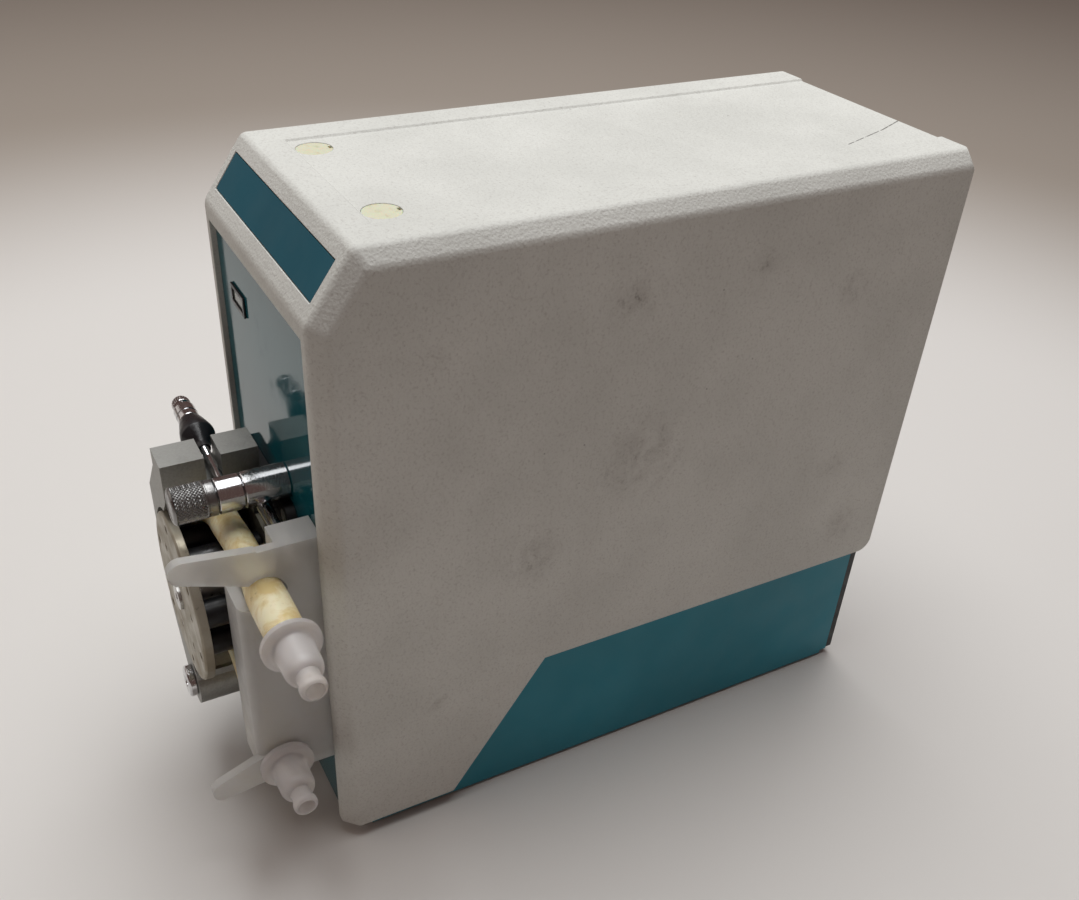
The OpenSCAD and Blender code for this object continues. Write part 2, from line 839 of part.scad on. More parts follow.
// Outline of the pressure arm in the X-Z plane, before the tube bed is cut
module arm_outline() {
    polygon([
        [arm_right, arm_top], [arm_step_x, arm_top], [arm_step_x, arm_top - 7],
        [arm_left, arm_top - 26], [arm_left, pivot_z + 22], [pivot_x - 9.2, pivot_z - 4],
        [pivot_x, pivot_z], [pivot_x + 8, pivot_z + 5], [arm_right, rotor_z]
    ]);
    translate([pivot_x, pivot_z]) circle(pivot_boss_r);
}

// Space for the tube and rollers: the round bed, and a wedge that leads the tube in and out
module bed_outline() {
    reach_z = 41.5;
    translate([rotor_x, rotor_z]) {
        circle(bed_r);
        polygon([[-18, 23], [-2, reach_z], [20, reach_z], [20, -reach_z], [-2, -reach_z], [-18, -23]]);
    }
}

module pressure_arm() {
    color(matt_aluminium) placed() difference() {
        slab_y(arm_front, arm_back) arm_outline();
        slab_y(arm_front - 1, arm_back + 1) bed_outline();
        bar_y(rotor_x, rotor_z, arm_front - 1, disc_back + 0.5, disc_r + 1.5);
        box([arm_left - 1, -head_y - slot_w / 2, arm_top - 10],
            [arm_right + 1, -head_y + slot_w / 2, arm_top + 1]);
        bar_y(pivot_x, pivot_z, arm_front - 1, arm_back + 1, pivot_r + running);
    }
}

module pivot_pin() {
    slot = 1.4;
    color(bright_chrome) placed() difference() {
        union() {
            bar_y(pivot_x, pivot_z, arm_front - 0.2, -plate_y, pivot_r);
            bar_y(pivot_x, pivot_z, pivot_head_front, arm_front - 0.2, pivot_head_r);
        }
        box([pivot_x - 10, pivot_head_front - 1, pivot_z - slot / 2],
            [pivot_x + 10, pivot_head_front + 1.2, pivot_z + slot / 2]);
    }
}

module clamp_post() {
    color(bright_chrome) placed() {
        bar_y(post_x, post_z, eye_back + gap, panel_face, post_r);
        bar_y(post_x, post_z, eye_front - gap, eye_back + gap, spigot_r);
        bar_y(post_x, post_z, knob_front + 5, eye_front - gap, thread_r);
    }
}

module post_knob() {
    smooth_l = 3;
    bore_end = knob_front + 4;
    color(dark_steel) placed() translate([post_x, knob_back, post_z]) rotate([90, 0, 0]) difference() {
        rotate_extrude() polygon([
            [0, 0], [post_r, 0], [post_r, smooth_l], [post_r + 0.2, smooth_l],
            [post_r + 0.2, knob_back - knob_front - 0.8], [post_r - 0.6, knob_back - knob_front],
            [0, knob_back - knob_front]
        ]);
        translate([0, 0, -1]) cylinder(r = thread_r + running, h = knob_back - bore_end + 1);
    }
}

module swing_bolt() {
    color(bright_chrome) placed() difference() {
        union() {
            bar_y(post_x, post_z, eye_front, eye_back, post_r);
            bar_x(-head_y, post_z, rod_end, post_x, rod_r);
        }
        bar_y(post_x, post_z, eye_front - 1, eye_back + 1, spigot_r + running);
    }
}

module pressure_collar() {
    bore = rod_r + running;
    color(near_black) placed()
        translate([collar_face, -head_y, post_z]) rotate([0, -90, 0]) rotate_extrude()
            polygon([
                [bore, -3], [neck_r, -3], [neck_r, 0], [neck_r + 0.9, 1.5], [collar_rim_r, collar_rim_at],
                [collar_rim_r, collar_rim_at + 1.8], [collar_rim_r - 0.5, collar_rim_at + 4.5],
                [collar_end_r, collar_l - 2], [collar_end_r - 0.6, collar_l], [bore, collar_l]
            ]);
}

module thumb_nut() {
    bore = rod_r + running;
    total = nut_l + nut_cap_l;
    color(bright_chrome) placed()
        translate([collar_face - collar_l - 0.1, -head_y, post_z]) rotate([0, -90, 0]) difference() {
            rotate_extrude() polygon([
                [0, 0], [nut_r - 0.5, 0], [nut_r, 0.8], [nut_r, nut_l - 0.6], [nut_r - 0.6, nut_l],
                [nut_cap_r - 0.8, nut_l + 0.4], [nut_cap_r - 0.8, nut_l + 1.6], [nut_cap_r, nut_l + 2.2],
                [nut_cap_r, total - 1.8], [nut_cap_r - 0.6, total - 0.6],
                [nut_cap_r - 1.6, total], [0, total]
            ]);
            translate([0, 0, -1]) cylinder(r = bore, h = nut_l + 3);
        }
}

// A tab of the cassette in the Y-Z plane, from its root at the body to its round tip
module tab_outline(root_low, root_high, tip, tip_r) {
    hull() {
        translate([cassette_front + 7, root_low]) square([1, root_high - root_low]);
        translate([tip[0], tip[1]]) circle(tip_r, $fn = 32);
    }
}

// The cassette's plan: its outer front corner is well rounded
module cassette_plan(left) {
    r = cassette_corner_r;
    depth = cassette_back - cassette_front - r;
    translate([left, cassette_front + r]) square([cassette_face - left, depth]);
    translate([left, cassette_front]) square([cassette_face - r - left, r + 1]);
    translate([cassette_face - r, cassette_front + r]) circle(r);
}

module tube_cassette() {
    plate_left = cassette_face - cassette_plate;
    mid_z = (cassette_top + cassette_bottom) / 2;
    tab_rise = 51.2;
    face_y = cassette_front + cassette_corner_r;
    color(milky_plastic) placed() difference() {
        union() {
            slab_x(plate_left, cassette_face) {
                translate([face_y, cassette_bottom])
                    square([cassette_back - face_y, cassette_top - cassette_bottom]);
                tab_outline(mid_z + 38.5, mid_z + 52.5, [tab_tip_y, mid_z + tab_rise], tab_tip_r);
                tab_outline(mid_z - 52.5, mid_z - 38.5, [tab_tip_y + 2, mid_z - tab_rise], tab_tip_r);
                translate([-head_y, lower_run_z]) circle(9);
            }
            difference() {
                translate([0, 0, block_bottom]) linear_extrude(block_top - block_bottom)
                    cassette_plan(cassette_left);
                box([cassette_left - 1, cassette_front + cassette_wall, block_bottom + cassette_wall],
                    [plate_left, cassette_back - cassette_wall, block_top - cassette_wall]);
            }
            box([rib_left, rib_front, cassette_bottom], [plate_left + 1, cassette_back, cassette_top]);
        }
        bar_x(-head_y, upper_run_z, cassette_left - 1, cassette_face + 1, bulge_r + 0.4);
        bar_x(-head_y, lower_run_z, cassette_left - 1, cassette_face + 1, bulge_r + 0.4);
        for (z = [pin_upper_z, pin_lower_z])
            bar_x(pin_y, z, cassette_left - 1, 41.3, guide_pin_r + running);
    }
}

module guide_pins() {
    color(bright_chrome) placed() {
        bar_x(pin_y, pin_upper_z, 9, 41, guide_pin_r);
        bar_x(pin_y, pin_lower_z, head_right, 41, guide_pin_r);
    }
}

// Stations along the tube: [x, z, half thickness in the X-Z plane, bulge factor]
function smooth(t) = t * t * (3 - 2 * t);
function blend(from, to, t) = from + (to - from) * smooth(t);
function half_at(angle) =
    let (off = abs(180 - angle), start = 180 - flat_from, t = (off - start) / (90 - start))
    t <= 0 ? flat_half : blend(flat_half, tube_r, min(t, 1));
function arc_station(angle) =
    let (h = half_at(angle), r = flat_inner + h)
    [rotor_x + r * cos(angle), rotor_z + r * sin(angle), h, 0];

upper_tube_end = upper_flange_x - 0.2;
lower_tube_end = lower_flange_x - 0.4;
top_z = rotor_z + flat_inner + tube_r;
low_z = rotor_z - flat_inner - tube_r;
bend_steps = 7;
arc_step = 7.5;

// How far the tube has swollen past x on its way out through the cassette
function bulge_at(x, from, length) = smooth(min(max((x - from) / length, 0), 1));

stations = concat(
    [for (x = [upper_tube_end, 56, 50, 46, 42, 38]) [x, upper_run_z, tube_r, bulge_at(x, 38, 12)]],
    [for (k = [0:bend_steps - 1])
        let (t = k / bend_steps)
        [upper_bend_x + (rotor_x - upper_bend_x) * t, blend(upper_run_z, top_z, t), tube_r, 0]],
    [for (a = [90:arc_step:270]) arc_station(a)],
    [for (k = [1:bend_steps])
        let (t = k / bend_steps)
        [rotor_x + (lower_bend_x - rotor_x) * t, blend(low_z, lower_run_z, t), tube_r, 0]],
    [for (x = [31, 34, 38, 42, lower_tube_end]) [x, lower_run_z, tube_r, bulge_at(x, 31, 9)]]
);

// One ring of points round station i, as wide as keeps the section's girth; wall shrinks it
function ring(i, wall) =
    let (
        last = len(stations) - 1,
        here = stations[i],
        before = stations[max(i - 1, 0)],
        after = stations[min(i + 1, last)],
        step = [after[0] - before[0], after[1] - before[1]],
        way = step / norm(step),
        grow = here[3] * (bulge_r - tube_r),
        high = here[2] + grow - wall,
        wide = sqrt(2 * tube_r * tube_r - here[2] * here[2]) + grow - wall
    )
    [for (k = [0:tube_sides - 1])
        let (a = 360 * k / tube_sides, out = high * cos(a))
        [here[0] - way[1] * out, -head_y + wide * sin(a), here[1] + way[0] * out]];

module pump_tube() {
    n = tube_sides;
    count = len(stations);
    points = concat(
        [for (i = [0:count - 1]) each ring(i, 0)],
        [for (i = [0:count - 1]) each ring(i, tube_wall)]
    );
    inner = n * count;
    next = function(k) (k + 1) % n;
    faces = concat(
        [for (i = [0:count - 2], k = [0:n - 1])
            [n * i + k, n * i + next(k), n * (i + 1) + next(k), n * (i + 1) + k]],
        [for (i = [0:count - 2], k = [0:n - 1])
            [inner + n * i + next(k), inner + n * i + k,
             inner + n * (i + 1) + k, inner + n * (i + 1) + next(k)]],
        [for (k = [0:n - 1]) [next(k), k, inner + k, inner + next(k)]],
        [for (k = [0:n - 1], last = n * (count - 1))
            [last + k, last + next(k), inner + last + next(k), inner + last + k]]
    );
    color(tube_cream) placed() polyhedron(points, faces, convexity = 8);
}

// Hose connector: a barb inside the tube, a flange, a barrel with a domed shoulder, and a nipple
// with a lip at its end for the user's hose
module hose_connector(x, z) {
    barrel_end = flange_t + barrel_l;
    dome_r = barrel_r - nipple_r;
    neck = barrel_end + shoulder_l;
    lip = neck + nipple_l;
    color(clear_plastic) placed() turned_x(x, -head_y, z)
        polygon(concat(
            [[connector_bore_r, -barb_l], [barb_r - 1, -barb_l], [barb_r, -barb_l + 3], [barb_r, 0]],
            [[flange_r - 0.9, 0], [flange_r - 0.3, 0.3], [flange_r, 0.9], [flange_r, flange_t - 1.6]],
            [[flange_r - 0.5, flange_t - 0.6], [flange_r - 1.6, flange_t], [barrel_r, flange_t]],
            [for (a = [0:15:90]) [nipple_r + dome_r * cos(a), barrel_end + shoulder_l * sin(a) - 0.5]],
            [[nipple_r, lip], [lip_r, lip + 0.4], [lip_r, connector_l - 0.6], [lip_r - 0.6, connector_l]],
            [[connector_bore_r, connector_l]]
        ));
}

module upper_connector() { hose_connector(upper_flange_x, upper_run_z); }
module lower_connector() { hose_connector(lower_flange_x, lower_run_z); }

housing_shell();
nameplate();
screw_plugs();
cover_screws();
front_panel();
display_bezel();
display_window();
inner_frame();
chassis_base();
rubber_feet();
rear_panel();
rear_screws();
mains_inlet();
inlet_pins();
fuse_drawer();
switch_housing();
power_rocker();
remote_socket();
gearbox();
drive_motor();
motor_screws();
transformer_core();
transformer_coil();
control_board();
board_standoffs();
board_parts();
head_plate();
head_screws();
shaft_bearing();
drive_shaft();
rotor_hub();
front_disc();
rear_disc();
roller_pins();
disc_screw();
roller_1();
roller_2();
roller_3();
roller_4();
roller_5();
roller_6();
pressure_arm();
pivot_pin();
clamp_post();
post_knob();
swing_bolt();
pressure_collar();
thumb_nut();
tube_cassette();
guide_pins();
pump_tube();
upper_connector();
lower_connector();
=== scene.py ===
"""Looks of the peristaltic pump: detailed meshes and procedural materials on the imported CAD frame.

Places given to at() are millimetres from the middle of the housing's front plane at table level:
x across the width, y towards the back, z up. Radii, edges and profiles are millimetres too, and
MM turns them into the frame's metres.
"""

import json
import math

import bmesh
import bpy
from mathutils import Matrix, Vector


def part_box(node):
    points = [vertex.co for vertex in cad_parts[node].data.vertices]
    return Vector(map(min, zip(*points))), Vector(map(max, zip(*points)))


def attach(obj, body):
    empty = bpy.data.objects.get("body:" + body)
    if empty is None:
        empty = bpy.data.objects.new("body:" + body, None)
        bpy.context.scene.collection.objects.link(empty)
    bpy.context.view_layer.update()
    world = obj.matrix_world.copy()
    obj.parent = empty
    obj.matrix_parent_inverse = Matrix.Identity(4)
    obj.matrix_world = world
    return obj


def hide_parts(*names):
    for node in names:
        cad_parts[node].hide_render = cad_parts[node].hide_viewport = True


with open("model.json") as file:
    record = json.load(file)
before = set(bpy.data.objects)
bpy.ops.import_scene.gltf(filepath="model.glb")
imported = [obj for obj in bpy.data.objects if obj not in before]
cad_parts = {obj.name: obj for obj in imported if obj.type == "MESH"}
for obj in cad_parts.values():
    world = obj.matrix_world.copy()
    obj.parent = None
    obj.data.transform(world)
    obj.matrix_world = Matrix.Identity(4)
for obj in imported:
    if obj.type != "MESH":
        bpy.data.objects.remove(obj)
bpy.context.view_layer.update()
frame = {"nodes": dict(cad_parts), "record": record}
MM = 0.001
HOUSING_LOW, HOUSING_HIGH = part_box("housing_shell")
ORIGIN = Vector(((HOUSING_LOW.x + HOUSING_HIGH.x) / 2, HOUSING_LOW.y, 0.0))
HALF_W = (HOUSING_HIGH.x - HOUSING_LOW.x) / 2 / MM
DEPTH = (HOUSING_HIGH.y - HOUSING_LOW.y) / MM
HEIGHT = HOUSING_HIGH.z / MM
RECESS_DEPTH = 0.8


def at(x, y, z):
    """A point of the housing's own measure, in the frame's metres."""
    return ORIGIN + Vector((x, y, z)) * MM


# ---------------------------------------------------------------- camera and light

def make_camera():
    """A view from the front right, looking down on the housing's top."""
    azimuth, elevation, roll = (math.radians(a) for a in (60.617, 35.816, 2.862))
    towards = -Vector((
        math.sin(azimuth) * math.cos(elevation),
        -math.cos(azimuth) * math.cos(elevation),
        math.sin(elevation),
    ))
    right = towards.cross(Vector((0, 0, 1))).normalized()
    down = towards.cross(right)
    x_axis = math.cos(roll) * right - math.sin(roll) * down
    y_axis = -(math.sin(roll) * right + math.cos(roll) * down)
    turn = Matrix((x_axis, y_axis, -towards)).transposed()
    stand = at(329.5, -83.4, 368.3)
    data = bpy.data.cameras.new("camera")
    data.sensor_width = 36.0
    data.lens = 37.25
    data.shift_x = 0.0193
    data.shift_y = 0.0499
    data.clip_start = 0.01
    camera = bpy.data.objects.new("camera", data)
    bpy.context.scene.collection.objects.link(camera)
    camera.matrix_world = Matrix.Translation(stand) @ turn.to_4x4()
    bpy.context.scene.camera = camera


def area_light(name, place, aim, size, power, colour):
    data = bpy.data.lights.new(name, "AREA")
    data.shape = "RECTANGLE"
    data.size, data.size_y = size
    data.energy = power
    data.color = colour
    light = bpy.data.objects.new(name, data)
    bpy.context.scene.collection.objects.link(light)
    light.location = place
    light.rotation_euler = (aim - place).to_track_quat("-Z", "Y").to_euler()


def make_light():
    """One big soft light overhead, a weak one at the front left, and a dim warm surround."""
    centre = at(0, DEPTH / 2, HEIGHT / 2)
    area_light(
        "overhead", place=centre + Vector((-0.3, 0.15, 1.5)), aim=centre,
        size=(1.4, 1.4), power=29.0, colour=(0.97, 0.99, 1.0),
    )
    area_light(
        "front_fill", place=centre + Vector((-0.8, -1.0, 0.5)), aim=centre,
        size=(1.0, 1.0), power=2.0, colour=(1.0, 0.96, 0.9),
    )
    world = bpy.data.worlds.new("studio")
    world.use_nodes = True
    background = world.node_tree.nodes["Background"]
    background.inputs["Color"].default_value = (1.0, 0.64, 0.56, 1.0)
    background.inputs["Strength"].default_value = 0.12
    bpy.context.scene.world = world
    bpy.context.scene.view_settings.view_transform = "Standard"


make_camera()
make_light()


# ---------------------------------------------------------------- materials

class Surface:
    """A procedural material that is built up node by node in the frame's own coordinates."""

    def __init__(self, name, roughness=0.5, metallic=0.0, **plain):
        self.material = bpy.data.materials.new(name)
        self.material.use_nodes = True
        self.tree = self.material.node_tree
        self.shader = self.tree.nodes["Principled BSDF"]
        self.place = self.node("ShaderNodeTexCoord").outputs["Object"]
        self.set("Roughness", roughness)
        self.set("Metallic", metallic)
        for label, value in plain.items():
            self.set(label.replace("_", " "), value)

    def node(self, kind, **settings):
        made = self.tree.nodes.new(kind)
        for key, value in settings.items():
            setattr(made, key, value)
        return made

    def put(self, socket, value):
        if isinstance(value, bpy.types.NodeSocket):
            self.tree.links.new(value, socket)
        else:
            socket.default_value = value

    def set(self, label, value):
        self.put(self.shader.inputs[label], value)

    def scaled(self, factors):
        """The frame's coordinates, stretched by a factor along each axis."""
        made = self.node("ShaderNodeVectorMath", operation="MULTIPLY")
        self.put(made.inputs[0], self.place)
        made.inputs[1].default_value = factors
        return made.outputs[0]

    def noise(self, scale, detail=2.0, rough=0.5, place=None, distortion=0.0):
        made = self.node("ShaderNodeTexNoise")
        self.put(made.inputs["Vector"], place or self.place)
        made.inputs["Scale"].default_value = scale
        made.inputs["Detail"].default_value = detail
        made.inputs["Roughness"].default_value = rough
        made.inputs["Distortion"].default_value = distortion
        return made.outputs["Fac"]

    def cells(self, scale):
        made = self.node("ShaderNodeTexVoronoi")
        self.put(made.inputs["Vector"], self.place)
        made.inputs["Scale"].default_value = scale
        return made.outputs["Distance"]

    def math(self, operation, a, b):
        made = self.node("ShaderNodeMath", operation=operation)
        self.put(made.inputs[0], a)
        self.put(made.inputs[1], b)
        return made.outputs[0]

    def fit(self, value, low, high, to_low=0.0, to_high=1.0):
        """A smooth step from to_low at low to to_high at high."""
        made = self.node("ShaderNodeMapRange", interpolation_type="SMOOTHSTEP")
        self.put(made.inputs["Value"], value)
        made.inputs["From Min"].default_value = low
        made.inputs["From Max"].default_value = high
        made.inputs["To Min"].default_value = to_low
        made.inputs["To Max"].default_value = to_high
        return made.outputs["Result"]

    def mix(self, share, a, b):
        """Colour a where share is 0 and colour b where it is 1."""
        made = self.node("ShaderNodeMix", data_type="RGBA")
        self.put(made.inputs["Factor"], share)
        colours = [s for s in made.inputs if s.type == "RGBA"]
        self.put(colours[0], rgba(a))
        self.put(colours[1], rgba(b))
        return [s for s in made.outputs if s.type == "RGBA"][0]

    def bump(self, height, distance, strength):
        made = self.node("ShaderNodeBump")
        made.inputs["Strength"].default_value = strength
        made.inputs["Distance"].default_value = distance
        self.put(made.inputs["Height"], height)
        return made.outputs["Normal"]

    def spot(self, centre, radius, soft=1.0):
        """1 inside a ball round a point, fading to 0 over the outer soft share of its radius."""
        away = self.node("ShaderNodeVectorMath", operation="DISTANCE")
        self.put(away.inputs[0], self.place)
        away.inputs[1].default_value = centre
        return self.fit(away.outputs["Value"], radius * MM * (1 - soft), radius * MM, 1.0, 0.0)

    def stroke(self, start, end, width):
        """1 along a straight scratch from start to end, and 0 away from it."""
        along = end - start
        offset = self.node("ShaderNodeVectorMath", operation="SUBTRACT")
        self.put(offset.inputs[0], self.place)
        offset.inputs[1].default_value = start
        dot = self.node("ShaderNodeVectorMath", operation="DOT_PRODUCT")
        self.put(dot.inputs[0], offset.outputs[0])
        dot.inputs[1].default_value = along / along.length_squared
        share = self.math("MAXIMUM", self.math("MINIMUM", dot.outputs["Value"], 1.0), 0.0)
        step = self.node("ShaderNodeVectorMath", operation="SCALE")
        step.inputs[0].default_value = along
        self.put(step.inputs["Scale"], share)
        away = self.node("ShaderNodeVectorMath", operation="DISTANCE")
        self.put(away.inputs[0], offset.outputs[0])
        self.put(away.inputs[1], step.outputs[0])
        return self.fit(away.outputs["Value"], width * MM * 0.4, width * MM, 1.0, 0.0)

    def several(self, masks):
        """The strongest of several masks."""
        total = masks[0]
        for mask in masks[1:]:
            total = self.math("MAXIMUM", total, mask)
        return total


def rgba(value):
    """A colour with its alpha, or a node's output as it is."""
    if isinstance(value, bpy.types.NodeSocket) or len(value) == 4:
        return value
    return (*value, 1.0)


def srgb(red, green, blue):
    """Linear colour from 0..255 display values."""
    def linear(v):
        v /= 255
        return v / 12.92 if v <= 0.04045 else ((v + 0.055) / 1.055) ** 2.4
    return (linear(red), linear(green), linear(blue))


def housing_paint():
    """Textured light-grey paint with rubbed-in dirt, nicks, a scratch and specks."""
    s = Surface("housing_paint", roughness=0.62, Specular_IOR_Level=0.4)
    light, dull = srgb(214, 215, 209), srgb(203, 204, 198)
    colour = s.mix(s.fit(s.noise(14, 4, 0.6), 0.35, 0.7), light, dull)
    colour = s.mix(s.fit(s.noise(950, 3, 0.75), 0.48, 0.75, 0.0, 0.4), colour, srgb(150, 144, 139))
    # Dirty patches on the right side: y, z and radius.
    places = [
        (108, 214, 15), (204, 200, 10), (160, 217, 8), (38, 206, 7), (38, 61, 7), (228, 86, 12),
        (120, 150, 26), (75, 120, 18), (214, 120, 9),
    ]
    smudges = s.several([s.spot(at(HALF_W, y, z), radius) for y, z, radius in places])
    rubbed = s.math("MULTIPLY", smudges, s.fit(s.noise(75, 6, 0.72, distortion=1.2), 0.36, 0.66))
    colour = s.mix(s.math("MULTIPLY", rubbed, 0.26), colour, srgb(112, 101, 94))
    grime = s.math("MULTIPLY", rubbed, s.fit(s.noise(420, 3, 0.7), 0.54, 0.68))
    colour = s.mix(s.math("MULTIPLY", grime, 0.5), colour, srgb(88, 78, 72))
    recess = HEIGHT - RECESS_DEPTH
    scratch_bend = at(24, 236, recess)
    nicks = s.several([
        s.spot(at(28.6, 204, HEIGHT), 0.8, 0.4),
        s.spot(at(9.2, 34, HEIGHT), 0.7, 0.4),
        s.stroke(at(32.7, 212, recess), scratch_bend, 0.35),
        s.stroke(scratch_bend, at(14.3, 257, recess), 0.4),
    ])
    broken = s.math("MULTIPLY", nicks, s.fit(s.noise(500, 2), 0.35, 0.5))
    colour = s.mix(s.math("MULTIPLY", broken, 0.8), colour, srgb(60, 55, 50))
    dots = s.fit(s.cells(110), 0.0, 0.06, 1.0, 0.0)
    specks = s.math("MULTIPLY", dots, s.fit(s.noise(35, 2), 0.55, 0.6))
    colour = s.mix(s.math("MULTIPLY", specks, 0.7), colour, srgb(70, 62, 56))
    s.set("Base Color", colour)
    s.set("Roughness", s.fit(s.noise(300, 3), 0.3, 0.7, 0.55, 0.72))
    grain = s.math("ADD", s.noise(900, 3, 0.65), s.math("MULTIPLY", s.cells(1000), 0.6))
    s.set("Normal", s.bump(grain, 0.0003, 0.5))
    return s.material


def satin_paint(name, colour, roughness):
    """Fine-grained paint on sheet metal."""
    s = Surface(name, roughness=roughness, Specular_IOR_Level=0.35)
    darker = tuple(c * 0.86 for c in colour)
    s.set("Base Color", s.mix(s.fit(s.noise(16, 4), 0.35, 0.7), colour, darker))
    s.set("Roughness", s.fit(s.noise(60, 3), 0.3, 0.7, roughness - 0.06, roughness + 0.08))
    s.set("Normal", s.bump(s.noise(420, 2), 0.0001, 0.35))
    return s.material


def gloss_panel():
    """Printed panel film: glossy, with faint smears."""
    s = Surface("panel_gloss", roughness=0.09, Specular_IOR_Level=0.18)
    teal = srgb(24, 92, 102)
    s.set("Base Color", s.mix(s.fit(s.noise(20, 3), 0.4, 0.7), teal, tuple(c * 0.85 for c in teal)))
    s.set("Roughness", s.fit(s.noise(45, 4, 0.7), 0.45, 0.75, 0.07, 0.22))
    s.set("Normal", s.bump(s.noise(130, 2), 0.00004, 0.3))
    return s.material


def plastic(name, colour, roughness, grain=0.25, fineness=900):
    """Plain opaque moulding or coating, with a surface grain of that strength and fineness."""
    s = Surface(name, roughness=roughness)
    paler = tuple(min(1.0, c * 1.35 + 0.006) for c in colour)
    s.set("Base Color", s.mix(s.fit(s.noise(90, 4, 0.65), 0.45, 0.75), colour, paler))
    s.set("Roughness", s.fit(s.noise(240, 3), 0.3, 0.7, roughness - 0.08, roughness + 0.1))
    s.set("Normal", s.bump(s.noise(fineness, 2), 0.00015, grain))
    return s.material


def metal(name, colour, roughness, stretch=(1, 1, 1), scale=600, grain=0.2, stain=0.35):
    """Bare metal with tool marks, drawn out along an axis by stretch, and dull stains."""
    s = Surface(name, roughness=roughness, metallic=1.0)
    lines = s.noise(scale, 4, 0.65, place=s.scaled(stretch))
    dull = tuple(c * 0.62 for c in colour)
    blotch = s.fit(s.noise(120, 5, 0.7), 0.5, 0.75, 0.0, stain)
    s.set("Base Color", s.mix(blotch, colour, dull))
    s.set("Roughness", s.fit(lines, 0.3, 0.7, max(0.03, roughness - 0.1), roughness + 0.12))
    s.set("Normal", s.bump(lines, 0.0001, grain))
    return s.material


def milky(name, colour, clear, depth, roughness):
    """Translucent moulding that light enters to a depth in mm."""
    s = Surface(
        name, roughness=roughness, IOR=1.49, Transmission_Weight=clear,
        Subsurface_Weight=0.5, Subsurface_Scale=depth * MM, Subsurface_Radius=(1.0, 0.95, 0.9),
    )
    warm = (colour[0] * 0.95, colour[1] * 0.92, colour[2] * 0.86)
    s.set("Base Color", s.mix(s.fit(s.noise(60, 4, 0.6), 0.45, 0.75, 0.0, 0.6), colour, warm))
    s.set("Roughness", s.fit(s.noise(200, 3), 0.3, 0.7, roughness - 0.06, roughness + 0.12))
    s.set("Normal", s.bump(s.noise(120, 2), 0.0001, 0.15))
    return s.material


def tube_rubber():
    """Aged cream pump tube with amber blotches."""
    s = Surface(
        "tube_rubber", roughness=0.42, Coat_Weight=0.15, Coat_Roughness=0.3,
        Subsurface_Weight=0.35, Subsurface_Scale=2.5 * MM, Subsurface_Radius=(1.0, 0.75, 0.4),
    )
    cream, amber = srgb(250, 240, 204), srgb(228, 206, 146)
    colour = s.mix(s.fit(s.noise(95, 5, 0.65, distortion=0.6), 0.38, 0.62), cream, amber)
    colour = s.mix(s.fit(s.noise(260, 4, 0.7), 0.6, 0.72, 0.0, 0.4), colour, srgb(168, 148, 98))
    s.set("Base Color", colour)
    s.set("Roughness", s.fit(s.noise(180, 3), 0.3, 0.7, 0.34, 0.52))
    s.set("Normal", s.bump(s.noise(210, 3), 0.0002, 0.35))
    return s.material


def worn_disc():
    """Roller disc metal, worn dull, with brown scratches."""
    s = Surface("worn_disc", roughness=0.5, metallic=0.6)
    bright, stained = srgb(166, 161, 147), srgb(148, 139, 121)
    colour = s.mix(s.fit(s.noise(70, 3, 0.5), 0.4, 0.7), bright, stained)
    streaks = s.noise(260, 4, 0.65, place=s.scaled((0.6, 1, 1.6)), distortion=0.8)
    scratches = s.fit(streaks, 0.6, 0.72)
    colour = s.mix(s.math("MULTIPLY", scratches, 0.45), colour, srgb(84, 76, 64))
    s.set("Base Color", colour)
    s.set("Roughness", s.fit(s.noise(160, 4), 0.3, 0.7, 0.36, 0.66))
    s.set("Normal", s.bump(scratches, 0.00015, 0.4))
    return s.material


def plug_plastic():
    """Yellowed cream plugs."""
    s = Surface("plug_plastic", roughness=0.4, Subsurface_Weight=0.2, Subsurface_Scale=1.5 * MM)
    cream, yellowed = srgb(214, 214, 188), srgb(184, 176, 136)
    s.set("Base Color", s.mix(s.fit(s.noise(300, 4, 0.7), 0.52, 0.72, 0.0, 0.5), cream, yellowed))
    s.set("Normal", s.bump(s.noise(400, 3), 0.0001, 0.4))
    return s.material


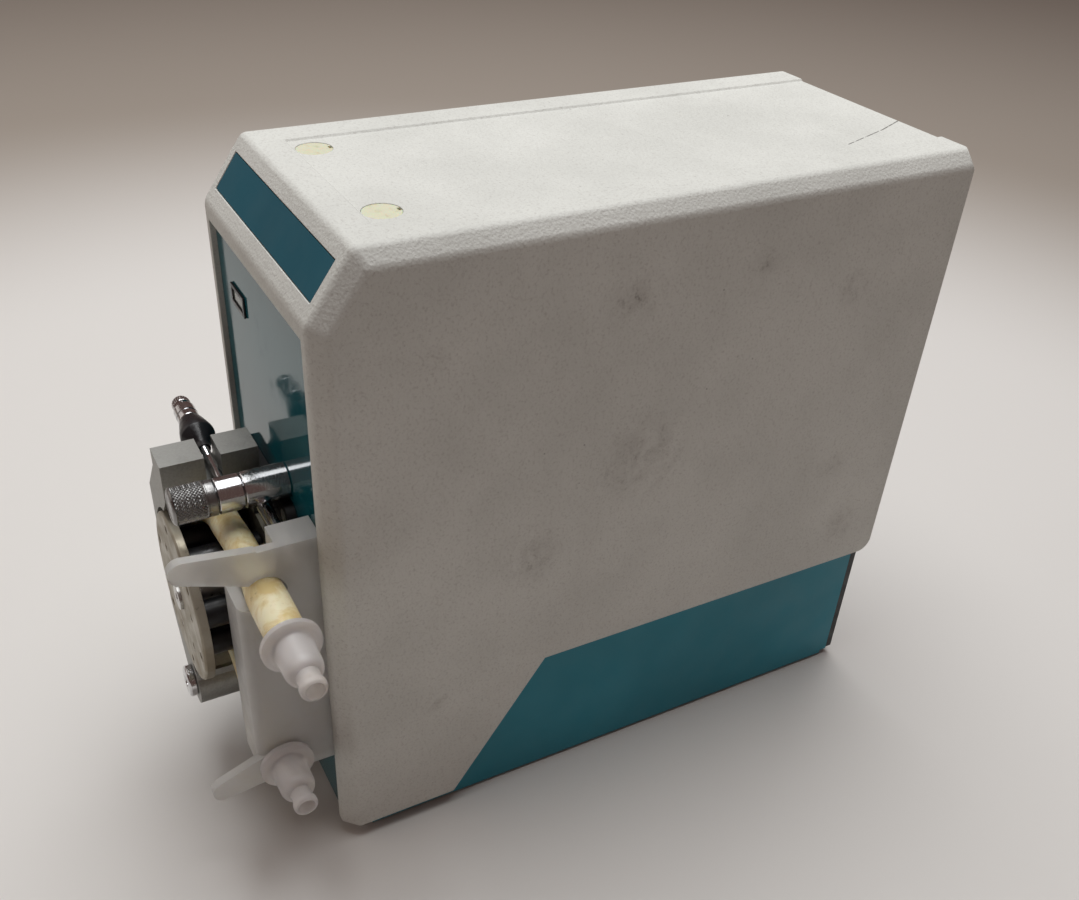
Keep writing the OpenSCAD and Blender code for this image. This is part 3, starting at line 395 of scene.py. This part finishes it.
CHROME = (0.60, 0.60, 0.61)
STEEL = (0.52, 0.52, 0.53)
MATERIALS = {
    "housing_grey": housing_paint(),
    "teal_paint": satin_paint("teal_paint", srgb(44, 135, 154), 0.5),
    "plate_teal": satin_paint("plate_teal", srgb(10, 82, 98), 0.62),
    "teal_gloss": gloss_panel(),
    "black_plastic": plastic("black_plastic", (0.012, 0.012, 0.014), 0.34),
    "black_metal": plastic("black_coating", (0.012, 0.012, 0.013), 0.5, 0.3, 1200),
    "black_rubber": plastic("black_rubber", (0.018, 0.018, 0.018), 0.75, 0.5, 500),
    "window_glass": plastic("window_lens", srgb(104, 112, 104), 0.12, 0.05),
    "zinc_steel": metal("zinc_steel", (0.60, 0.60, 0.58), 0.36),
    "dark_steel": metal("dark_steel", (0.34, 0.33, 0.33), 0.36, grain=0.3),
    "knurled_steel": metal("knurled_steel", (0.27, 0.265, 0.26), 0.34, grain=0.1, stain=0.3),
    "steel_shaft": metal("ground_steel", STEEL, 0.22, (1, 8, 1)),
    "bright_chrome": metal("bright_chrome", CHROME, 0.13, (1, 6, 1), grain=0.05, stain=0.3),
    "matt_aluminium": metal("matt_aluminium", (0.36, 0.36, 0.34), 0.55, (3, 1, 1), 900, 0.35),
    "disc_metal": worn_disc(),
    "milky_plastic": milky("milky_plastic", srgb(236, 236, 233), 0.62, 8, 0.45),
    "clear_plastic": milky("clear_plastic", srgb(252, 248, 246), 0.62, 3, 0.36),
    "tube_cream": tube_rubber(),
    "plug_cream": plug_plastic(),
    "red_plastic": plastic("red_plastic", srgb(130, 20, 20), 0.3),
    "brass_stud": metal("brass", (0.66, 0.48, 0.2), 0.3),
    "copper_coil": plastic("coil_tape", srgb(196, 150, 60), 0.5),
    "green_board": plastic("board_green", srgb(30, 90, 50), 0.35),
}


# ---------------------------------------------------------------- meshes

RECORD = frame["record"]
BODY_OF = {node: body for body, nodes in RECORD["behaviour"]["bodies"].items() for node in nodes}
SLOT_OF = {s["node"]: s["material_slot"] for s in RECORD["subparts"]}
WELD = 2e-6                 # metres: points of a CAD mesh closer than this are one point
CLOSED_LOOP_WELD = 1e-7     # metres: the same for a lathe profile that ends where it began
FLAT_ANGLE = 0.6            # degrees: faces that meet flatter than this are one face


def finish_mesh(name, bm, material, smooth_angle=40):
    """Turns mesh-building data into an object with smooth faces and crisp edges."""
    mesh = bpy.data.meshes.new(name)
    bm.to_mesh(mesh)
    bm.free()
    for polygon in mesh.polygons:
        polygon.use_smooth = True
    mesh.set_sharp_from_angle(angle=math.radians(smooth_angle))
    mesh.materials.append(material)
    made = bpy.data.objects.new(name, mesh)
    bpy.context.scene.collection.objects.link(made)
    weighted = made.modifiers.new("flat faces stay flat", "WEIGHTED_NORMAL")
    weighted.keep_sharp = True
    weighted.weight = 90
    return made


def stand_for(made, node):
    """The piece moves with the node's body and hides the node."""
    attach(made, BODY_OF[node])
    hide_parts(node)


def welded_mesh(node):
    """A copy of the node's own triangles, joined where they meet."""
    bm = bmesh.new()
    bm.from_mesh(frame["nodes"][node].data)
    bmesh.ops.remove_doubles(bm, verts=bm.verts, dist=WELD)
    return bm


def cad_mesh(node):
    """The node's own surface with its triangles merged back into whole faces."""
    bm = welded_mesh(node)
    bmesh.ops.dissolve_limit(
        bm, angle_limit=math.radians(FLAT_ANGLE), verts=bm.verts, edges=bm.edges,
        use_dissolve_boundaries=False,
    )
    return bm


def round_edges(bm, width, segments, sharper_than=28, chosen=None):
    """Rounds the edges that turn by more than sharper_than degrees, or those of them chosen."""
    edges = [
        e for e in bm.edges
        if len(e.link_faces) == 2
        and e.calc_face_angle(0.0) > math.radians(sharper_than)
        and (chosen is None or chosen(e))
    ]
    bmesh.ops.bevel(
        bm, geom=edges, offset=width * MM, offset_type="OFFSET", segments=segments,
        profile=0.5, affect="EDGES", clamp_overlap=True, loop_slide=True,
    )


def softened(node, width, material):
    """The CAD node's shape with its edges broken, as moulding or deburring leaves them."""
    bm = cad_mesh(node)
    round_edges(bm, width, 2)
    stand_for(finish_mesh(node + "_look", bm, material), node)


def lathe(profile, centre, direction, steps=128, knurl=None):
    """A turned surface: profile gives (radius, distance) in mm along direction from centre.

    knurl(angle, distance) gives how deep the surface is cut there, in mm. The surface is closed on
    its axis wherever the profile's radius is 0.
    """
    turn = Vector((0, 0, 1)).rotation_difference(direction).to_matrix()
    bm = bmesh.new()
    rings = []
    for radius, distance in profile:
        if radius == 0:
            rings.append([bm.verts.new(centre + turn @ Vector((0, 0, distance * MM)))])
            continue
        ring = []
        for k in range(steps):
            angle = 2 * math.pi * k / steps
            r = radius - (knurl(angle, distance) if knurl else 0.0)
            ring.append(bm.verts.new(centre + turn @ Vector((
                r * math.cos(angle) * MM, r * math.sin(angle) * MM, distance * MM,
            ))))
        rings.append(ring)
    for ring, following in zip(rings, rings[1:]):
        for k in range(steps):
            near, far = ring[k % len(ring)], following[k % len(following)]
            near_next = ring[(k + 1) % len(ring)]
            far_next = following[(k + 1) % len(following)]
            corners = dict.fromkeys((near, near_next, far_next, far))
            bm.faces.new(list(corners))
    bmesh.ops.recalc_face_normals(bm, faces=bm.faces)
    return bm


def rounded_start(radius, edge, steps=4):
    """Profile of a turned piece's first rim, rounded by edge, from its flat end to its wall."""
    angles = [math.pi / 2 * k / steps for k in range(steps + 1)]
    return [(radius - edge * (1 - math.sin(a)), edge * (1 - math.cos(a))) for a in angles]


def faded(distance, start, end, fade):
    """1 between start and end, falling to 0 over fade at either end."""
    return min(1.0, max(0.0, min(distance - start, end - distance) / fade))


def knurled(count, pitch_length, depth, start, end):
    """Diamond knurling between two distances, with count diamonds round the piece."""
    def cut(angle, distance):
        around = count * angle / (2 * math.pi)
        along = distance / pitch_length
        a = abs((around + along) % 1 - 0.5) * 2
        b = abs((around - along) % 1 - 0.5) * 2
        return depth * faded(distance, start, end, 0.4) * max(a, b)
    return cut


def straight_knurl(count, depth, start, end):
    """Grooves along the axis between two distances."""
    def cut(angle, distance):
        return depth * faded(distance, start, end, 0.3) * (0.5 - 0.5 * math.cos(count * angle))
    return cut


def steps_between(start, end, step):
    """Evenly spaced values from start to end, about step apart."""
    count = max(1, round((end - start) / step))
    return [start + (end - start) * k / count for k in range(count + 1)]


def make_post_knob():
    """Smooth collar, groove, diamond knurling, and an end with a shallow dish."""
    low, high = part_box("post_knob")
    centre = (low + high) / 2
    radius = (high.x - low.x) / 2 / MM
    length = (high.y - low.y) / MM
    collar_r = radius - 0.2
    groove_r = radius - 0.5
    collar_end = 3.0
    knurl_from, knurl_to = collar_end + 0.5, length - 0.9
    dish_floor = length - 0.15
    profile = [(0, 0)] + rounded_start(collar_r, 0.3)
    profile += [(collar_r, collar_end - 0.1), (groove_r, collar_end), (groove_r, collar_end + 0.3)]
    profile += [(radius, d) for d in steps_between(knurl_from, knurl_to, 0.17)]
    profile += [(radius - 0.35, length - 0.45), (radius - 0.8, length - 0.15), (radius - 1.2, length)]
    profile += [(radius - 1.9, length), (radius - 2.1, dish_floor), (0, dish_floor)]
    cut = knurled(33, 1.25, 0.4, knurl_from, knurl_to)
    base = Vector((centre.x, high.y, centre.z))
    bm = lathe(profile, base, Vector((0, -1, 0)), 264, cut)
    knob = finish_mesh("post_knob_look", bm, MATERIALS["knurled_steel"], 30)
    knob.modifiers.clear()
    stand_for(knob, "post_knob")


def make_thumb_nut():
    """Round nut with a groove, a neck and a small ribbed cap."""
    low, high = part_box("thumb_nut")
    centre = (low + high) / 2
    radius = (high.z - low.z) / 2 / MM
    length = (high.x - low.x) / MM
    bore_r = 1.7
    body = 10.0
    groove_r = radius - 0.5
    cap_r = 3.5
    neck_r = cap_r - 0.8
    profile = [(bore_r, 0), (radius - 0.6, 0), (radius - 0.15, 0.3), (radius, 0.8)]
    profile += [(radius, body * 0.36), (groove_r, body * 0.38), (groove_r, body * 0.44)]
    profile += [(radius, body * 0.46)]
    profile += [(radius, d) for d in steps_between(body * 0.5, body - 0.9, 0.4)]
    profile += [(radius - 0.2, body - 0.3), (radius - 0.7, body)]
    profile += [(neck_r, body + 0.4), (neck_r, body + 1.5)]
    profile += [(cap_r - 0.2, body + 1.9), (cap_r, body + 2.3)]
    profile += [(cap_r, d) for d in steps_between(body + 2.5, length - 1.7, 0.3)]
    profile += [(cap_r - 0.35, length - 0.9), (cap_r - 1.0, length - 0.3), (cap_r - 2.0, length)]
    profile += [(0, length)]
    cut_cap = straight_knurl(24, 0.35, body + 2.3, length - 1.2)
    base = Vector((high.x, centre.y, centre.z))
    bm = lathe(profile, base, Vector((-1, 0, 0)), 144, cut_cap)
    stand_for(finish_mesh("thumb_nut_look", bm, MATERIALS["bright_chrome"], 50), "thumb_nut")


def cylinder_run(radius, start, end, edge):
    """Profile of a plain turned run with its two rims chamfered by edge."""
    return [(radius - edge, start), (radius, start + edge), (radius, end - edge), (radius - edge, end)]


def joined(meshes):
    """Several mesh-building results as one."""
    whole = bmesh.new()
    for bm in meshes:
        part = bpy.data.meshes.new("part")
        bm.to_mesh(part)
        bm.free()
        whole.from_mesh(part)
        bpy.data.meshes.remove(part)
    return whole


def make_clamp_post():
    """Post, the step that the bolt's eye turns on, and the threaded end in the knob."""
    low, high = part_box("clamp_post")
    base = Vector(((low.x + high.x) / 2, high.y, (low.z + high.z) / 2))
    radius = (high.x - low.x) / 2 / MM
    length = (high.y - low.y) / MM
    eye_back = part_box("swing_bolt")[1].y
    shoulder = (high.y - eye_back) / MM - 0.3
    step_r, step_end = 4.0, shoulder + 9.6
    thread_r = 3.0
    profile = [(0, 0)] + cylinder_run(radius, 0, shoulder, 0.35)
    profile += [(step_r, shoulder), (step_r, step_end)]
    profile += [(thread_r, step_end), (thread_r, length), (0, length)]
    bm = lathe(profile, base, Vector((0, -1, 0)), 128)
    stand_for(finish_mesh("clamp_post_look", bm, MATERIALS["bright_chrome"], 35), "clamp_post")


def make_swing_bolt():
    """The eye that turns on the post, and its threaded rod."""
    low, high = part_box("swing_bolt")
    post_low, post_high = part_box("clamp_post")
    radius = (high.z - low.z) / 2 / MM
    length = (high.y - low.y) / MM
    centre = Vector(((post_low.x + post_high.x) / 2, high.y, (low.z + high.z) / 2))
    hole_r, hole_edge = 4.05, 0.3
    ring = [(hole_r, hole_edge), (hole_r + hole_edge, 0)] + cylinder_run(radius, 0, length, 0.45)
    ring += [(hole_r + hole_edge, length), (hole_r, length - hole_edge), (hole_r, hole_edge)]
    eye = lathe(ring, centre, Vector((0, -1, 0)), 128)
    bmesh.ops.remove_doubles(eye, verts=eye.verts, dist=CLOSED_LOOP_WELD)
    rod_r = 1.6
    rod_from = radius - 1.2
    rod_l = (centre.x - low.x) / MM
    thread_from, half_pitch, thread_depth = 24.0, 0.35, 0.16
    profile = [(0, rod_from), (rod_r, rod_from), (rod_r, thread_from)]
    for d in steps_between(thread_from, rod_l - 0.6, half_pitch):
        cut = thread_depth if round(d / half_pitch) % 2 else 0.0
        profile.append((rod_r - cut, d))
    profile += [(rod_r - 0.5, rod_l), (0, rod_l)]
    rod = lathe(profile, Vector((centre.x, (low.y + high.y) / 2, centre.z)), Vector((-1, 0, 0)), 64)
    made = finish_mesh("swing_bolt_look", joined([eye, rod]), MATERIALS["bright_chrome"], 35)
    stand_for(made, "swing_bolt")


def make_pivot_pin():
    """Pin with a chamfered head that has a shallow round socket in its middle."""
    low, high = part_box("pivot_pin")
    radius = (high.x - low.x) / 2 / MM
    length = (high.y - low.y) / MM
    head = 3.1
    socket_r, socket_depth = 2.2, 1.4
    shank_r = 4.0
    profile = [(0, socket_depth), (socket_r, socket_depth), (socket_r + 0.15, 0.3), (socket_r + 0.5, 0.0)]
    profile += [(radius - 1.1, 0.0), (radius - 0.4, 0.25), (radius, 0.8), (radius, head - 0.3)]
    profile += [(radius - 0.3, head), (shank_r, head), (shank_r, length), (0, length)]
    base = Vector(((low.x + high.x) / 2, low.y, (low.z + high.z) / 2))
    bm = lathe(profile, base, Vector((0, 1, 0)), 128)
    stand_for(finish_mesh("pivot_pin_look", bm, MATERIALS["bright_chrome"], 35), "pivot_pin")


def make_guide_pins():
    """The long upper pin and the lower one, which starts further in."""
    low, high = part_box("guide_pins")
    radius, edge = 2.6, 0.9
    lower_start = low.x + 13 * MM
    pins = []
    for z, start in ((high.z - radius * MM, low.x), (low.z + radius * MM, lower_start)):
        length = (high.x - start) / MM
        profile = [(0, 0)] + rounded_start(radius, edge)
        profile += [(radius, length - edge), (radius - edge, length), (0, length)]
        pins.append(lathe(profile, Vector((start, (low.y + high.y) / 2, z)), Vector((1, 0, 0)), 96))
    made = finish_mesh("guide_pins_look", joined(pins), MATERIALS["bright_chrome"], 35)
    stand_for(made, "guide_pins")


def make_connector(node):
    """Moulded hose connector: barb, flange, barrel with a domed shoulder, nipple, lip and bore."""
    low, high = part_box(node)
    flange_r = (high.z - low.z) / 2 / MM
    bore, barb, barrel, nipple, lip = 2.9, 4.6, 6.7, 3.9, 4.4
    length = (high.x - low.x) / MM
    flange = 14.0
    barrel_from, neck = flange + 4.0, flange + 17.0
    dome_r, dome_from, dome_rise, dome_steps = barrel - 0.3 - nipple, flange + 12.6, 3.9, 12
    profile = [(bore, 0), (barb - 1, 0), (barb, 3), (barb, flange)]
    profile += cylinder_run(flange_r, flange, flange + 3.2, 0.7)
    profile += [(flange_r - 1.6, flange + 3.6), (barrel + 0.9, flange + 3.7)]
    profile += [(barrel + 0.1, barrel_from + 0.5), (barrel - 0.25, barrel_from + 5.0)]
    for k in range(dome_steps + 1):
        a = math.pi / 2 * k / dome_steps
        profile.append((nipple + dome_r * math.cos(a), dome_from + dome_rise * math.sin(a)))
    profile += [(nipple - 0.1, neck + 1.5), (nipple, length - 3.2), (lip - 0.1, length - 2.7)]
    profile += [(lip, length - 2.2), (lip, length - 1.0), (lip - 0.25, length - 0.3), (lip - 0.8, length)]
    profile += [(bore + 0.3, length), (bore, length - 0.4), (bore, 0)]
    base = Vector((low.x, (low.y + high.y) / 2, (low.z + high.z) / 2))
    bm = lathe(profile, base, Vector((1, 0, 0)), 96)
    bmesh.ops.remove_doubles(bm, verts=bm.verts, dist=CLOSED_LOOP_WELD)
    stand_for(finish_mesh(node + "_look", bm, MATERIALS["clear_plastic"], 42), node)


def make_tube():
    """The tube's own surface as quads with a smooth subdivision."""
    bm = welded_mesh("pump_tube")
    bmesh.ops.join_triangles(
        bm, faces=bm.faces,
        angle_face_threshold=math.radians(40), angle_shape_threshold=math.radians(60),
    )
    tube = finish_mesh("pump_tube_look", bm, MATERIALS["tube_cream"], 70)
    tube.modifiers.clear()
    tube.modifiers.new("smooth wall", "SUBSURF").render_levels = 2
    stand_for(tube, "pump_tube")


def slope_recess_walls(bm):
    """Draws the edge of the top recess's floor inwards, so that its walls lean."""
    recess_z = HOUSING_HIGH.z - RECESS_DEPTH * MM
    recess_front = HOUSING_LOW.y + 26.3 * MM
    recess_half = 40 * MM
    slope = 0.9 * MM
    touching = 0.1 * MM
    for v in bm.verts:
        if abs(v.co.z - recess_z) > touching:
            continue
        sideways = v.co.x - ORIGIN.x
        if abs(abs(sideways) - recess_half) < touching:
            v.co.x -= math.copysign(slope, sideways)
        if abs(v.co.y - recess_front) < touching:
            v.co.y += slope


def make_housing():
    """The cover, with its bevels' long edges rounded more than its other edges."""
    bm = cad_mesh("housing_shell")
    slope_recess_walls(bm)
    bevel_depth = 6.5 * MM
    front_zone = HOUSING_LOW.y + 26 * MM
    top_zone = HOUSING_HIGH.z - 6 * MM

    def on_rim(e):
        outer = all(abs(abs(v.co.x - ORIGIN.x) - HALF_W * MM) < bevel_depth for v in e.verts)
        middle = (e.verts[0].co + e.verts[1].co) / 2
        return outer and (middle.y < front_zone or middle.z > top_zone)

    round_edges(bm, 1.5, 4, 12, on_rim)
    round_edges(bm, 0.35, 2, 40)
    stand_for(finish_mesh("housing_look", bm, MATERIALS["housing_grey"], 50), "housing_shell")


make_housing()
make_post_knob()
make_thumb_nut()
make_clamp_post()
make_swing_bolt()
make_pivot_pin()
make_guide_pins()
make_connector("upper_connector")
make_connector("lower_connector")
make_tube()

EDGE_WIDTH = {
    "nameplate": 0.15, "screw_plugs": 0.3, "front_panel": 0.3, "display_bezel": 0.25,
    "chassis_base": 0.6, "rubber_feet": 0.4, "rear_panel": 0.3, "rear_screws": 0.25,
    "mains_inlet": 0.5, "inlet_pins": 0.3, "fuse_drawer": 0.4, "switch_housing": 0.4,
    "power_rocker": 0.5, "remote_socket": 0.25, "head_plate": 0.3, "head_screws": 0.25,
    "shaft_bearing": 0.3, "front_disc": 0.25, "rear_disc": 0.4, "roller_pins": 0.2,
    "disc_screw": 0.3, "pressure_arm": 0.45, "pressure_collar": 0.4, "tube_cassette": 0.5,
    "rotor_hub": 0.3, **{f"roller_{k}": 0.2 for k in range(1, 7)}, "gearbox": 0.5,
    "drive_motor": 0.5,
}
OWN_MATERIAL = {"nameplate": "plate_teal", "front_disc": "disc_metal", "rear_disc": "disc_metal"}
for node_name, edge_width in EDGE_WIDTH.items():
    softened(node_name, edge_width, MATERIALS[OWN_MATERIAL.get(node_name, SLOT_OF[node_name])])

# Nodes that no finer mesh replaces show their CAD shape in their slot's material.
for node_name in SLOT_OF:
    body_mesh = frame["nodes"][node_name].data
    body_mesh.materials.clear()
    body_mesh.materials.append(MATERIALS[SLOT_OF[node_name]])


# ---------------------------------------------------------------- floor

def make_floor():
    """A pale round floor that turns greyer away from the pump, as painted shade where less light reaches
    it.
    """
    bm = bmesh.new()
    bmesh.ops.create_circle(bm, cap_ends=True, segments=96, radius=6.0)
    s = Surface("floor_paper", roughness=0.85, Specular_IOR_Level=0.2)
    # painted shade: the far colour darkens the floor away from the pump, standing in for the light
    # falling off there
    near, far = srgb(219, 217, 213), srgb(162, 153, 143)
    away = s.node("ShaderNodeVectorMath", operation="LENGTH")
    s.put(away.inputs[0], s.place)
    colour = s.mix(s.fit(away.outputs["Value"], 0.45, 0.95), near, far)
    s.set("Base Color", colour)
    s.set("Normal", s.bump(s.noise(60, 4), 0.0004, 0.15))
    floor = finish_mesh("floor", bm, s.material)


make_floor()
